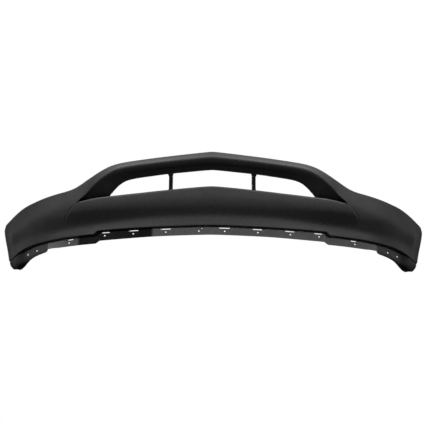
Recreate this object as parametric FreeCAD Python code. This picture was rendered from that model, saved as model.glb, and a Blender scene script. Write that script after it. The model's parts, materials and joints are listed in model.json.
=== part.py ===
import FreeCAD, Part
import math
import os

# Lower front bumper cover of a passenger car, with its lower flange strips, braces and
# fasteners. Millimetres. The car faces -Y, X runs across it and Z is up; "right" is +X,
# as seen from in front. The exported origin is midway between the middle pair of open holes.
#
# Points on the cover are given as (arc, out, z): arc is the distance along the plan curve
# from the middle (negative on the left), out the offset along its outward normal, z the height.

V = FreeCAD.Vector
SIDES = (-1, 1)          # left, right

# ---------------------------------------------------------------- driving dimensions
SKIN_T = 3.0             # wall of the cover moulding
HEM_D = 38.0             # how far behind the plan curve the lower hem reaches
RETURN_D = 26.0          # depth of the return flange along the top edge
EDGE_MID_Z = 11.0        # lower edge along the middle
EDGE_SIDE_Z = -3.0       # lower edge outboard of the joggles
EDGE_TIP_RISE = 3.0      # how much the lower edge climbs again towards the wheels
RECESS_END = 575.0       # arc where the opening's recess ends
OPENING_END = 462.0      # arc where the recess reaches its full form
WEB_OUT = -60.0          # offset of the web behind the bar
SHELF_RISE = 2.0         # shelf's top above its tabled height
BAND = 5.0               # half height of the strip of wing that the recess closes into
FACE_ROWS = 27           # steps up the front face

STRIP_T = 2.5            # wall of the lower flange strips
STRIP_D = 20.0           # how far the hanging strips sit behind the lower edge
STRIP_GAP = 0.3          # air between the hem and a strip's leg
STRIP_MID_OUT = -STRIP_D - STRIP_T / 2
BUTT_ARC = 463.0         # end of the centre strip
ARCH_ARC = 744.0         # end of the side strip

PAIRS_X = (49.5, 178.0, 306.0, 421.0, 571.0)   # open holes, either side of the middle
HOLE_R = 2.75
HOLE_DROP = 17.8         # open holes' centres below the lower edge
SLOT_L, SLOT_H = 40.0, 3.4
SLOT_DROP = 4.2          # slots' upper edge below the lower edge
LOCATOR_X, LOCATOR_R, LOCATOR_DROP = -37.4, 2.0, 7.4
LINER_R = 3.25           # wheel-arch liner holes
LINER_HOLES = ((725.4, -22.9), (777.6, -21.0))   # x, z

SCREW_R = 2.0
SCREW_HOLE_R = SCREW_R + 0.05
RETAINER_HOLE_R = 4.0
FIX_OUT = -30.5          # line of the upright fixings through hem and strip leg
SCREW_ARCS = [side * arc for arc in (112.0, 242.0, 364.0, 545.0, 660.0, 900.0, 1010.0, 1150.0)
              for side in SIDES]
RETAINER_ARCS = {"inner": 395.0, "middle": 510.0, "outer": 780.0}

GRILLE_HOLES_X = (120.0, 300.0)   # holes for the grille bracket in the top return
GRILLE_HOLE_R, GRILLE_SETBACK = 3.5, 13.0
NUT_ARCS = (730.0, 850.0)         # U-nuts on the wings' top return
NUT_HOLE_R, NUT_SETBACK = 4.5, 16.0

STRUT_X = 165.0          # braces across the opening, either side of the middle
STRUT_W, STRUT_DEEP, STRUT_T = 15.0, 9.0, 2.5
STRUT_FRONT = SKIN_T + 0.3        # brace's front behind the web's outer face
OPENING_TRIM_TOP = 4.5   # web left below the visor
OPENING_TRIM_LOW = 5.0   # web left above the shelf


# ---------------------------------------------------------------- curve helpers
def smooth(start, end, x):
    """Smooth step from 0 at start to 1 at end."""
    share = min(1.0, max(0.0, (x - start) / (end - start)))
    return share * share * (3 - 2 * share)


def mix(first, second, share):
    return first + (second - first) * share


def bisect(low, high, too_low):
    """Value between low and high where too_low(value) turns false."""
    for _ in range(60):
        middle = 0.5 * (low + high)
        if too_low(middle):
            low = middle
        else:
            high = middle
    return 0.5 * (low + high)


def gaps_and_chords(xs, ys):
    """Widths and mean slopes of the spans between neighbouring points."""
    gaps = [after - before for before, after in zip(xs, xs[1:])]
    return gaps, [(ys[i + 1] - ys[i]) / gap for i, gap in enumerate(gaps)]


def find_span(xs, x):
    """Index of the point that opens the span holding x."""
    low, high = 0, len(xs) - 1
    while high - low > 1:
        middle = (low + high) // 2
        if xs[middle] <= x:
            low = middle
        else:
            high = middle
    return low


def profile(table):
    """Monotone cubic through (x, value) pairs, held flat past both ends."""
    xs, ys = zip(*table)
    gaps, chords = gaps_and_chords(xs, ys)
    slopes = [chords[0]] + [0.0] * (len(xs) - 2) + [chords[-1]]
    for i in range(1, len(xs) - 1):
        if chords[i - 1] * chords[i] > 0:
            before = 2 * gaps[i] + gaps[i - 1]
            after = gaps[i] + 2 * gaps[i - 1]
            slopes[i] = (before + after) / (before / chords[i - 1] + after / chords[i])

    def value(x):
        if x <= xs[0]:
            return ys[0]
        if x >= xs[-1]:
            return ys[-1]
        i = find_span(xs, x)
        share = (x - xs[i]) / gaps[i]
        square, cube = share ** 2, share ** 3
        return ((2 * cube - 3 * square + 1) * ys[i]
                + (cube - 2 * square + share) * gaps[i] * slopes[i]
                + (3 * square - 2 * cube) * ys[i + 1]
                + (cube - square) * gaps[i] * slopes[i + 1])
    return value


def spline(xs, ys, start_slope):
    """C2 cubic with a set slope at the start and a free end; gives (value, slope)."""
    last = len(xs) - 1
    gaps, chords = gaps_and_chords(xs, ys)
    diagonal = [2 * gaps[0]]
    loads = [3 * (chords[0] - start_slope)]
    for i in range(1, last):
        ratio = gaps[i - 1] / diagonal[i - 1]
        diagonal.append(2 * (gaps[i - 1] + gaps[i]) - ratio * gaps[i - 1])
        loads.append(3 * (chords[i] - chords[i - 1]) - ratio * loads[i - 1])
    bends = [0.0] * (last + 1)
    for i in range(last - 1, -1, -1):
        bends[i] = (loads[i] - gaps[i] * bends[i + 1]) / diagonal[i]

    def value_and_slope(x):
        i = find_span(xs, x)
        step = x - xs[i]
        slope = chords[i] - gaps[i] * (2 * bends[i] + bends[i + 1]) / 3
        cubic = (bends[i + 1] - bends[i]) / (3 * gaps[i])
        return (ys[i] + slope * step + bends[i] * step ** 2 + cubic * step ** 3,
                slope + 2 * bends[i] * step + 3 * cubic * step ** 2)
    return value_and_slope


# ---------------------------------------------------------------- plan curve
# Front lower edge seen from above, right half: x, y
PLAN = [
    (0, 0.0), (50, 4.6), (100, 11.9), (150, 20.6), (200, 30.6), (250, 42.0), (300, 55.0),
    (350, 69.6), (400, 86.2), (450, 105.2), (500, 127.0), (550, 152.5), (600, 183.5),
    (650, 222.5), (700, 271.5), (745, 328.0), (783, 390.0), (815, 452.0), (842, 514.0),
    (868, 583.0), (891, 641.0), (909.5, 680.0)]
plan_arcs = [0.0]
for before, after in zip(PLAN, PLAN[1:]):
    plan_arcs.append(plan_arcs[-1] + math.hypot(after[0] - before[0], after[1] - before[1]))
plan_x = spline(plan_arcs, [x for x, y in PLAN], 1.0)
plan_y = spline(plan_arcs, [y for x, y in PLAN], 0.0)
ARC_END = plan_arcs[-1]


def plan(arc):
    """Plan point and outward unit normal: x, y, normal x, normal y."""
    x, slope_x = plan_x(abs(arc))
    y, slope_y = plan_y(abs(arc))
    length = math.hypot(slope_x, slope_y)
    side = -1.0 if arc < 0 else 1.0
    return side * x, y, side * slope_y / length, -slope_x / length


def at(arc, out, z):
    x, y, normal_x, normal_y = plan(arc)
    return (x + normal_x * out, y + normal_y * out, z)


def arc_at_x(x, out):
    """Arc of the point at offset out that lies at x."""
    return math.copysign(bisect(0.0, ARC_END, lambda arc: at(arc, out, 0)[0] < abs(x)), x)


# ---------------------------------------------------------------- station tables, right half
# Top edge: arc, z
TOP_Z = profile([
    (0, 321), (12, 320.6), (55, 317.8), (104, 314.5), (154, 311.2), (204, 308.1),
    (255, 304.9), (307, 301.7), (359, 298.5), (386, 296.4), (414, 292.8), (441, 287.2),
    (469, 278.1), (498, 266.2), (527, 252.7), (558, 238.6), (588, 224.8), (620, 213.5),
    (655, 207.8), (692, 205.9), (778, 205.0), (882, 204.6), (950, 203.6), (1010, 201),
    (1070, 196.2), (1135, 188.3), (1165, 183), (1200, 175), (ARC_END, 167)])
# Top edge: arc, out
TOP_OUT = profile([
    (0, -49), (560, -49), (640, -46), (800, -42), (900, -34), (1000, -18), (1080, -4),
    (1150, 9), (ARC_END, 22)])
# Corner between visor and bar's top face, before rounding: arc, z
NOSE_Z = profile([
    (0, 283.5), (12, 283.2), (97, 279.3), (195, 275.2), (294, 270.2), (345, 266.9),
    (375, 264), (397, 260.5), (423, 252.3), (450, 239.4), (477, 222.0), (505, 200.5),
    (534, 179), (556, 163)])
# Top of the web, where the visor starts: arc, z
WEB_TOP_Z = profile([
    (0, 252), (12, 251.7), (106, 246.6), (206, 241.3), (258, 237.4), (310, 233.7),
    (336, 231.3), (363, 227.0), (385, 219.5), (402, 209.5), (417, 197.5), (432, 184),
    (445, 171), (455, 158), (462, 150)])
# Shelf below the opening: arc, z
SHELF_Z = profile([
    (0, 172.3), (12, 172.1), (49, 170.6), (96, 168.0), (144, 165.2), (193, 162.3),
    (242, 159.3), (291, 156.1), (342, 153.7), (394, 151.4), (430, 150.3), (470, 148.9),
    (510, 146.0), (545, 141.5), (575, 136.0)])
# Line where the wing turns from upright to sloped: arc, z
BREAK_Z = profile([
    (540, 146), (575, 136), (600, 131), (650, 123), (700, 116), (850, 101), (1000, 90),
    (1100, 95), (1170, 118), (ARC_END, 136)])
# Outward lean of the wing at LEAN_HEIGHT above its base: arc, out
LEAN = profile([(0, 0), (800, 0), (900, 3), (1000, 12), (1100, 22), (ARC_END, 29)])
LEAN_HEIGHT = 126.0
# Slopes of the wing's undercut and lip: arc, slope
UNDERCUT = profile([
    (560, 0.24), (640, 0.26), (750, 0.32), (1000, 0.33), (1080, 0.29), (1150, 0.14),
    (ARC_END, 0.03)])
LIP = profile([(560, 0.30), (1000, 0.26), (1120, 0.15), (ARC_END, 0.03)])
# Feature line where the chin meets the wing: z, arc
CREASE_ARC = profile([
    (40, 643), (57, 639), (71, 634), (99, 615), (120, 597), (132, 583.5), (141, 573),
    (150, 562), (170, 545)])
# Bottom edges of the hanging strips, middle and side, then arch: arc, z
STRIP_BOTTOM_Z = profile([
    (0, -21.8), (220, -21.8), (300, -23.2), (396, -24.7), (462, -25.3), (484, -35.3),
    (590, -35.0), (670, -33.8), (705, -31.0), (752, -29.7)])
ARCH_BOTTOM_Z = profile([
    (744, -33), (750, -38), (762, -41), (778, -42), (830, -44.2), (894, -48.5),
    (946, -57.5), (990, -65.5), (1030, -67.5), (1070, -64), (1110, -55), (1160, -45),
    (1216, -35)])


# ---------------------------------------------------------------- front face
def edge_height(arc, drop_start, drop_end):
    arc = abs(arc)
    return (mix(EDGE_MID_Z, EDGE_SIDE_Z, smooth(drop_start, drop_end, arc))
            + EDGE_TIP_RISE * smooth(700, 1000, arc))


def lower_edge(arc):
    """Height of the lower edge, with a joggle at each end of the raised middle."""
    return edge_height(arc, 464, 480)


def face_base(arc):
    """Height the front face's offsets are measured from; it skips the joggle."""
    return edge_height(arc, 300, 640)


def ramp(z, bend_z, softness):
    """Zero below bend_z and slope 1 above it, rounded over softness."""
    return 0.5 * ((z - bend_z) + math.sqrt((z - bend_z) ** 2 + softness ** 2))


def rise(z, base, bend_z, softness):
    """Gain of the ramp from base to z."""
    return ramp(z, bend_z, softness) - ramp(base, bend_z, softness)


def wing_below_break(arc, z):
    """Lip, undercut and outward lean of the wing, without its upper slope."""
    base = face_base(arc)
    undercut, lip = UNDERCUT(arc), LIP(arc)
    lip_end = mix(34.0, 46.0, smooth(780, 1020, arc))
    undercut_end = min(mix(88.0, 98.0, smooth(640, 760, arc)), BREAK_Z(arc))
    height = max(0.0, (z - base) / LEAN_HEIGHT)
    bowed = min(1.0, height) * (2 - min(1.0, height))
    lean = mix(bowed, min(1.1, height), smooth(1090, ARC_END, arc))
    inset = 8.0 * smooth(-3, 46, z) * (1 - smooth(640, 800, arc))
    return (-lip * (z - base) + (undercut + lip) * rise(z, base, lip_end, 10.0)
            - undercut * rise(z, base, undercut_end, 12.0) + LEAN(arc) * lean - inset)


def wing(arc, z):
    """Offset of the wing; the slope above its break line brings it to the top edge."""
    base, bend_z, softness = face_base(arc), BREAK_Z(arc), 24.0
    top = TOP_Z(arc)
    slope = (TOP_OUT(arc) - wing_below_break(arc, top)) / rise(top, base, bend_z, softness)
    return wing_below_break(arc, z) + slope * rise(z, base, bend_z, softness)


def chin(arc, z):
    """Lip, undercut, upright nose and sloping upper face of the middle."""
    base = face_base(arc)
    outboard = smooth(150, 560, arc)
    lip, undercut = mix(0.30, 0.40, outboard), mix(0.32, 0.45, outboard)
    lip_end, undercut_end = mix(60.0, 49.0, outboard), mix(87.0, 97.0, outboard)
    nose_slope, upper_slope, upper_start = 0.05, 0.25, 122.0
    return (-lip * (z - base) + (lip + undercut) * rise(z, base, lip_end, 10.0)
            - (undercut + nose_slope) * rise(z, base, undercut_end, 11.0)
            - upper_slope * rise(z, base, upper_start, 20.0))


def front(arc, z):
    """Offset of the front face: the proud chin meets the wing in a sunk feature line."""
    blend_width = mix(110.0, 20.0, smooth(42, 72, z))
    past_crease = arc - CREASE_ARC(z)
    share = min(0.0, max(-1.0, past_crease / blend_width))
    chin_share = 1 - (1 + share) ** 2
    groove = 1.7 * math.exp(-((past_crease + 1.0) / 3.6) ** 2) * smooth(50, 80, z)
    return mix(wing(arc, z), chin(arc, z), chin_share) - groove


# ---------------------------------------------------------------- folded section of the cover
def rounded_corner(start, corner, end, radius):
    """Six (out, z) points round the corner, from tangent point to tangent point."""
    start, corner, end = [V(out, 0, z) for out, z in (start, corner, end)]
    arriving, leaving = corner - start, end - corner
    longest = 0.44 * min(arriving.Length, leaving.Length)
    arriving.normalize()
    leaving.normalize()
    half = 0.5 * math.acos(max(-1.0, min(1.0, -arriving.dot(leaving))))
    safe_half = max(half, 0.3)
    reach = max(1.0, min(radius / math.tan(safe_half), longest))
    first, last = corner - arriving * reach, corner + leaving * reach
    bisector = leaving - arriving
    to_centre = reach / math.cos(safe_half)
    centre = corner + bisector * (to_centre / max(1e-6, bisector.Length))
    turn = math.pi - 2 * half
    points = [first]
    for k in range(1, 6):
        share = k / 5.0
        if turn > 0.15 and half > 0.3:
            before = math.sin((1 - share) * turn) / math.sin(turn)
            after = math.sin(share * turn) / math.sin(turn)
            points.append(centre + (first - centre) * before + (last - centre) * after)
        else:
            points.append(first + (last - first) * share)
    return [(point.x, point.z) for point in points]


def section(arc):
    """Runs of (out, z) points from the hem, up the front and over to the top return.

    Each run starts on the last point of the one before. Where the recess dies out, its
    points close up into a narrow band of the wing's surface.
    """
    arc = abs(arc)
    edge_z, top_z, top_out = lower_edge(arc), TOP_Z(arc), TOP_OUT(arc)
    band_z = BREAK_Z(arc) - BAND
    inboard = min(1.0, max(0.0, (RECESS_END - arc) / (RECESS_END - OPENING_END)))
    recess = smooth(0.0, 0.16, inboard)     # 1 where the recess is real, 0 on the wing

    def off_wing(point, z, share):
        """The wing's point at height z, moved by share towards point."""
        return mix(wing(arc, z), point[0], share), mix(z, point[1], share)

    # hem, from its rear edge to the lower edge
    edge_out = front(arc, edge_z)
    hem = [(-HEM_D * share, edge_z) for share in (1.0, 0.66, 0.33)]
    hem.append((edge_out - 2.6, edge_z))

    # front face
    shoulder_r = 9.0 * smooth(0.0, 0.35, inboard) + 4.0
    start_angle = math.radians(17.0)
    shelf_z = SHELF_Z(min(arc, RECESS_END)) + SHELF_RISE
    shoulder_z = shelf_z - shoulder_r * (1 - math.sin(start_angle))
    foot_z, face_top = edge_z + 2.2, mix(band_z, shoulder_z, recess)
    face = [hem[-1], (edge_out - 0.7, edge_z + 0.6)]
    for k in range(FACE_ROWS + 1):
        share = k / FACE_ROWS
        spaced = share - 0.045 * math.sin(2 * math.pi * share)
        z = foot_z + (face_top - foot_z) * spaced
        face.append((front(arc, z), z))

    # rounded shoulder, then the shelf running back to the web
    shoulder_out = face[-1][0]
    folds = []
    for k in range(1, 7):
        angle = start_angle + (math.pi / 2 - start_angle) * k / 6.0
        folds.append((shoulder_out + shoulder_r * (math.cos(angle) - math.cos(start_angle)),
                      shoulder_z + shoulder_r * (math.sin(angle) - math.sin(start_angle))))
    shelf_out = folds[-1][0]
    web_out = min(WEB_OUT + mix(22.0, 0.0, smooth(0.0, 1.0, inboard)), shelf_out - 3.0)
    for k in range(1, 4):
        folds.append((mix(shelf_out, web_out, k / 3.0), shelf_z - k / 3.0))
    for k, point in enumerate(folds, 1):
        face.append(off_wing(point, band_z + 4.0 * k / 9.0, recess))

    # web across the opening (cut away later), or floor of the recess
    web_low = shelf_z - 1.0
    web_high = max(WEB_TOP_Z(min(arc, OPENING_END)), web_low + 6.0)
    web = [off_wing((web_out, mix(web_low, web_high, k / 3.0)), band_z + 4.0 + 2.0 * k / 3.0,
                    recess) for k in range(4)]

    # corner between the visor and the bar's top face
    nose_r = 20.5 - 10.5 * smooth(380, 500, arc) - 8.5 * smooth(490, 560, arc)
    nose_z = max(NOSE_Z(min(arc, 556.0)) - max(0.0, arc - 556.0) * 0.9, web_high + 2.0)
    nose_out = mix(-15.0 - 4.0 * smooth(300, 520, arc) + 0.57 * nose_r, wing(arc, nose_z),
                   smooth(505, 567, arc))
    nose_z = max(nose_z - 0.24 * nose_r - 2.0 * smooth(100, 250, arc), web_high + 2.0)
    nose = rounded_corner((web_out, web_high), (nose_out, nose_z), (top_out, top_z), nose_r)

    # visor, nose and the bar's top face, or the wing's sloping upper face
    upper = []
    for k in range(4):
        share = k / 3.0
        bow = 2.0 * math.sin(math.pi * share) * recess
        point = (mix(web_out, nose[0][0], share) - bow * 0.5,
                 mix(web_high, nose[0][1], share) + bow)
        upper.append(off_wing(point, band_z + 6.0 + 4.0 * share, recess))
    deck = [(mix(nose[-1][0], top_out, share) + 1.2 * math.sin(math.pi * share),
             mix(nose[-1][1], top_z, share)) for share in (0.36, 0.70, 0.88, 1.0)]
    wing_steps = (0.06, 0.12, 0.19, 0.27, 0.36, 0.52, 0.68, 0.84, 1.0)
    bar = 1 - smooth(505, 600, arc)
    for point, share in zip(nose[1:] + deck, wing_steps):
        upper.append(off_wing(point, mix(band_z + 10.0, top_z, share), bar))

    top_return = [(top_out - RETURN_D * k / 3.0, top_z) for k in range(4)]
    return [hem, face, web, upper, top_return]


# ---------------------------------------------------------------- thickened sheets
def clamped(count, degree):
    """Knots and multiplicities of a clamped B-spline with count poles."""
    spans = count - degree
    return ([float(i) for i in range(spans + 1)],
            [degree + 1] + [1] * (spans - 1) + [degree + 1])


def surface(rows):
    """B-spline face whose poles are the given rows of points."""
    along, across = len(rows[0]), len(rows)
    degree_u, degree_v = min(3, along - 1), min(3, across - 1)
    knots_u, mults_u = clamped(along, degree_u)
    knots_v, mults_v = clamped(across, degree_v)
    poles = [[row[i] for row in rows] for i in range(along)]
    result = Part.BSplineSurface()
    result.buildFromPolesMultsKnots(poles, mults_u, mults_v, knots_u, knots_v, False, False,
                                    degree_u, degree_v)
    return result.toShape()


def inner_point(rows, j, i, thickness):
    """Point of the sheet's inner side behind rows[j][i]."""
    here = rows[j][i]
    along = rows[j][min(i + 1, len(rows[j]) - 1)] - rows[j][max(i - 1, 0)]
    normals = []
    if j > 0:
        normals.append(along.cross(here - rows[j - 1][i]).normalize())
    if j < len(rows) - 1:
        normals.append(along.cross(rows[j + 1][i] - here).normalize())
    offset = normals[0]
    if len(normals) == 2:
        # lengthened across a fold so that both sides keep the wall
        mitre = 1.0 / max(0.35, 1 + normals[0].dot(normals[1]))
        offset = (normals[0] + normals[1]) * mitre
    return here - offset * thickness


def sheet(arcs, section_at, thickness):
    """Closed solid: the sheet through section_at(arc), thickened to its inner side."""
    sections = [section_at(arc) for arc in arcs]
    rows, breaks = [], [0]
    for run in range(len(sections[0])):
        for j in range(min(run, 1), len(sections[0][run])):   # later runs share a row
            rows.append([V(*at(arc, *runs[run][j])) for arc, runs in zip(arcs, sections)])
        breaks.append(len(rows) - 1)
    inner = [[inner_point(rows, j, i, thickness) for i in range(len(arcs))]
             for j in range(len(rows))]
    spans = [slice(low, high + 1) for low, high in zip(breaks, breaks[1:])]
    grids = (rows, inner)
    faces = [surface(grid[span]) for grid in grids for span in spans]
    faces += [surface([rows[j], inner[j]]) for j in (0, -1)]
    faces += [surface([[row[i] for row in grid[span]] for grid in grids])
              for i in (0, -1) for span in spans]
    shell = Part.Shell(faces)
    shell.sewShape()
    if shell.ShapeType != "Shell":      # sewing may wrap the shell in a compound
        shell = shell.Shells[0]
    solid = Part.Solid(shell)
    if solid.Volume < 0:
        solid.reverse()
    return solid


def stations(start, *legs):
    """Arcs from start through each (end, step) leg, evenly spaced within a leg."""
    arcs = [start]
    for end, step in legs:
        begin = arcs[-1]
        count = max(4, int(round((end - begin) / step)))
        arcs += [begin + (end - begin) * k / count for k in range(1, count + 1)]
    return arcs


def both_sides(arcs):
    return [-arc for arc in reversed(arcs) if arc > 0] + arcs


# ---------------------------------------------------------------- local tools
def placed(shape, arc, out, z):
    """Puts a local shape in place: x along the plan curve, y inward (rearward), z up."""
    x, y, normal_x, normal_y = plan(arc)
    matrix = FreeCAD.Matrix(-normal_y, -normal_x, 0, x + normal_x * out,
                            normal_x, -normal_y, 0, y + normal_y * out,
                            0, 0, 1, z,
                            0, 0, 0, 1)
    return shape.transformed(matrix, True)


def box(left, right, fore, rear, bottom, top):
    return Part.makeBox(right - left, rear - fore, top - bottom, V(left, fore, bottom))


def upright(radius, bottom, height):
    return Part.makeCylinder(radius, height, V(0, 0, bottom), V(0, 0, 1))


def level(radius, x, y, z, length):
    """Cylinder running along +y from the given point."""
    return Part.makeCylinder(radius, length, V(x, y, z), V(0, 1, 0))


def cone(bottom_r, top_r, bottom, height):
    return Part.makeCone(bottom_r, top_r, height, V(0, 0, bottom), V(0, 0, 1))


def fixing_holes(screw_arcs, retainer_arcs):
    """Upright holes through hem and strip leg."""
    spots = [(arc, SCREW_HOLE_R) for arc in screw_arcs]
    spots += [(arc, RETAINER_HOLE_R) for arc in retainer_arcs]
    return [placed(upright(radius, -12, 24), arc, FIX_OUT, lower_edge(arc))
            for arc, radius in spots]


# ---------------------------------------------------------------- cover skin
STRUT_ARC = arc_at_x(STRUT_X, WEB_OUT)
GAP_TOP = WEB_TOP_Z(STRUT_ARC) - OPENING_TRIM_TOP    # opening's upper edge at the braces
GAP_LOW = SHELF_Z(STRUT_ARC) + OPENING_TRIM_LOW      # its lower edge there
STRUT_SCREWS = [(side * STRUT_ARC, z) for side in SIDES
                for z in (GAP_TOP - 4.5, GAP_LOW + 5.5)]     # arc, z
# Spacing of the skin's stations: up to arc, step
SKIN_STEPS = ((21, 7.0), (436, 20.0), (455.9, 6.0), (489, 3.0), (552, 6.0), (656, 4.0),
              (ARC_END, 20.0))


def skin_stations():
    arcs, arc = [], 0.0
    while arc < ARC_END - 12:
        arcs.append(arc)
        arc += next(step for limit, step in SKIN_STEPS if arc < limit)
    return arcs + [ARC_END]


def strut_tabs():
    """Lugs of web left standing in the opening, above and below, for the braces."""
    half = STRUT_W / 2
    outline = [(-14, GAP_TOP + 6), (14, GAP_TOP + 6), (half, GAP_TOP - 10),
               (-half, GAP_TOP - 10), (-14, GAP_TOP + 6)]
    tabs = []
    for side in SIDES:
        upper = Part.Face(Part.makePolygon([V(x, -30, z) for x, z in outline]))
        lower = box(-half, half, -30, 30, GAP_LOW - 4, GAP_LOW + 12)
        tabs.append(placed(upper.extrude(V(0, 60, 0)), side * STRUT_ARC, WEB_OUT, 0))
        tabs.append(placed(lower, side * STRUT_ARC, WEB_OUT, 0))
    return tabs[0].fuse(tabs[1:])


def opening_cutter():
    """Air opening, cut straight rearward through the web behind the bar."""
    edges = []       # x, top z, low z
    for k in range(57):
        arc = 8.0 * k
        top = max(WEB_TOP_Z(arc), SHELF_Z(arc) + 7.0) - OPENING_TRIM_TOP
        edges.append((at(arc, WEB_OUT, 0)[0], top, SHELF_Z(arc) + OPENING_TRIM_LOW))
    last = max(i for i, (x, top, low) in enumerate(edges) if top - low > 7.0)
    edges = edges[:last + 1]
    edges = [(-x, top, low) for x, top, low in reversed(edges[1:])] + edges
    upper = [V(x, 20, top) for x, top, low in edges]
    lower = [V(x, 20, low) for x, top, low in edges]
    knots, mults = clamped(len(edges), 3)
    curves = []
    for poles in (upper, lower):
        curve = Part.BSplineCurve()
        curve.buildFromPolesMultsKnots(poles, mults, knots, False, 3)
        curves.append(curve.toShape())
    wire = Part.Wire([curves[0], Part.makeLine(upper[-1], lower[-1]),
                      curves[1], Part.makeLine(lower[0], upper[0])])
    return Part.Face(wire).extrude(V(0, 210, 0)).cut(strut_tabs())


def return_holes(radius, arc, setback):
    """Mirrored pair of upright holes in the top return."""
    x, y, z = at(arc, TOP_OUT(arc) - setback, TOP_Z(arc))
    return [Part.makeCylinder(radius, 20, V(side * x, y, z - 10), V(0, 0, 1))
            for side in SIDES]


def cover_skin():
    skin = sheet(both_sides(skin_stations()), section, SKIN_T).cut(opening_cutter())
    cuts = [placed(level(SCREW_HOLE_R, 0, -20, z, 40), arc, WEB_OUT, 0)
            for arc, z in STRUT_SCREWS]
    cuts += fixing_holes(SCREW_ARCS, [side * arc for arc in RETAINER_ARCS.values()
                                      for side in SIDES])
    for x in GRILLE_HOLES_X:
        arc = arc_at_x(x, TOP_OUT(x) - GRILLE_SETBACK)
        cuts += return_holes(GRILLE_HOLE_R, arc, GRILLE_SETBACK)
    for arc in NUT_ARCS:
        cuts += return_holes(NUT_HOLE_R, arc, NUT_SETBACK)
    return skin.cut(cuts)


# ---------------------------------------------------------------- lower flange strips
def below_hem(arc):
    """Height of a strip leg's underside: parallel to the hem, with more air in the joggle."""
    if not 452 < arc < 492:
        return lower_edge(arc) - STRIP_GAP - STRIP_T

    def slope_and_gap(foot):
        slope = lower_edge(foot + 0.5) - lower_edge(foot - 0.5)
        return slope, STRIP_GAP + STRIP_T + 0.4 * min(1.0, 3 * abs(slope))

    def lands_short(foot):
        slope, gap = slope_and_gap(foot)
        return foot + gap * slope / math.hypot(1, slope) < arc

    foot = bisect(arc - 5.0, arc + 5.0, lands_short)
    slope, gap = slope_and_gap(foot)
    return lower_edge(foot) - gap / math.hypot(1, slope)


def strip(arcs, bottom_z):
    """Leg under the hem, bend and hanging wall; the wall's top nears the skin at the tips."""
    def runs(arc):
        arc = abs(arc)
        leg_z, low_z = below_hem(arc), bottom_z(arc)
        top_out = mix(-STRIP_D, -0.8, smooth(945, 1110, arc)) - STRIP_T
        low_out = -STRIP_D - STRIP_T
        leg_end, wall_z = top_out - 2.0, leg_z - 2.0
        leg = [(-HEM_D, leg_z), (mix(-HEM_D, leg_end, 0.5), leg_z), (leg_end, leg_z)]
        bend = [leg[-1], (top_out - 0.6, leg_z - 0.6), (top_out, wall_z)]
        wall = [(mix(top_out, low_out, (k / 6.0) ** 2.2), mix(wall_z, low_z, k / 6.0))
                for k in range(7)]
        return [leg, bend, wall]
    return sheet(arcs, runs, STRIP_T)


def strip_bore(x, radius, z):
    """Bore from front to rear through the hanging wall."""
    y = at(arc_at_x(x, STRIP_MID_OUT), STRIP_MID_OUT, 0)[1]
    return level(radius, x, y - 30, z, 60)


def open_hole_z(x):
    return lower_edge(arc_at_x(x, STRIP_MID_OUT)) - HOLE_DROP


def open_hole(x):
    return strip_bore(x, HOLE_R, open_hole_z(x))


def slot(x):
    """Lengthways slot in the hanging wall, with the leg behind it notched to match."""
    arc = arc_at_x(x, -STRIP_D)
    half, low = SLOT_L / 2, -SLOT_DROP - SLOT_H
    tool = box(-half, half, -8, 3.4, low, -SLOT_DROP)
    tool = tool.fuse(box(-half, half, 4.7, 30, low, 0.0))
    return placed(tool, arc, -STRIP_D, lower_edge(arc))


def centre_strip():
    cuts = []
    for x in PAIRS_X[:4]:
        for side in SIDES:
            cuts.append(open_hole(side * x))
            if side * x != -PAIRS_X[0]:
                cuts.append(slot(side * x))
    # the first hole left of the middle has a small locating hole above it, not a slot
    locator_z = lower_edge(arc_at_x(LOCATOR_X, STRIP_MID_OUT)) - LOCATOR_DROP
    cuts.append(strip_bore(LOCATOR_X, LOCATOR_R, locator_z))
    inner = RETAINER_ARCS["inner"]
    cuts += fixing_holes([arc for arc in SCREW_ARCS if abs(arc) < BUTT_ARC], [inner, -inner])
    arcs = both_sides(stations(0, (436.0, 20.0), (BUTT_ARC, 4.0)))
    return strip(arcs, STRIP_BOTTOM_Z).cut(cuts)


def side_strip():
    cuts = [open_hole(PAIRS_X[4]), slot(PAIRS_X[4])]
    cuts += fixing_holes([arc for arc in SCREW_ARCS if BUTT_ARC < arc < ARCH_ARC],
                         [RETAINER_ARCS["middle"]])
    arcs = stations(BUTT_ARC + 1.0, (491.0, 3.0), (ARCH_ARC, 15.0))
    return strip(arcs, STRIP_BOTTOM_Z).cut(cuts)


def arch_strip():
    cuts = [strip_bore(x, LINER_R, z) for x, z in LINER_HOLES]
    cuts += fixing_holes([arc for arc in SCREW_ARCS if arc > ARCH_ARC],
                         [RETAINER_ARCS["outer"]])
    arcs = stations(ARCH_ARC + 1.2, (772.0, 4.0), (1060.0, 16.0), (1218.0, 8.0))
    return strip(arcs, ARCH_BOTTOM_Z).cut(cuts)


def mirror(shape):
    return shape.mirror(V(0, 0, 0), V(1, 0, 0))


# ---------------------------------------------------------------- braces and screws
def strut(arc):
    """Upright channel, open to the rear, with one cross rib halfway up."""
    low, high = GAP_LOW - 12.0, GAP_TOP + 9.0
    middle, half, wall = (low + high) / 2, STRUT_W / 2, 2.0
    fore, rear = STRUT_FRONT, STRUT_FRONT + STRUT_DEEP
    body = box(-half, half, fore, fore + STRUT_T, low, high)
    body = body.fuse([box(-half, -half + wall, fore, rear, low, high),
                      box(half - wall, half, fore, rear, low, high),
                      box(-half, half, fore, rear, middle - wall / 2, middle + wall / 2)])
    body = body.removeSplitter()
    for _, z in STRUT_SCREWS[:2]:
        body = body.cut(level(SCREW_HOLE_R, 0, -5, z, 20))
    return placed(body, arc, WEB_OUT, 0)


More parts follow.
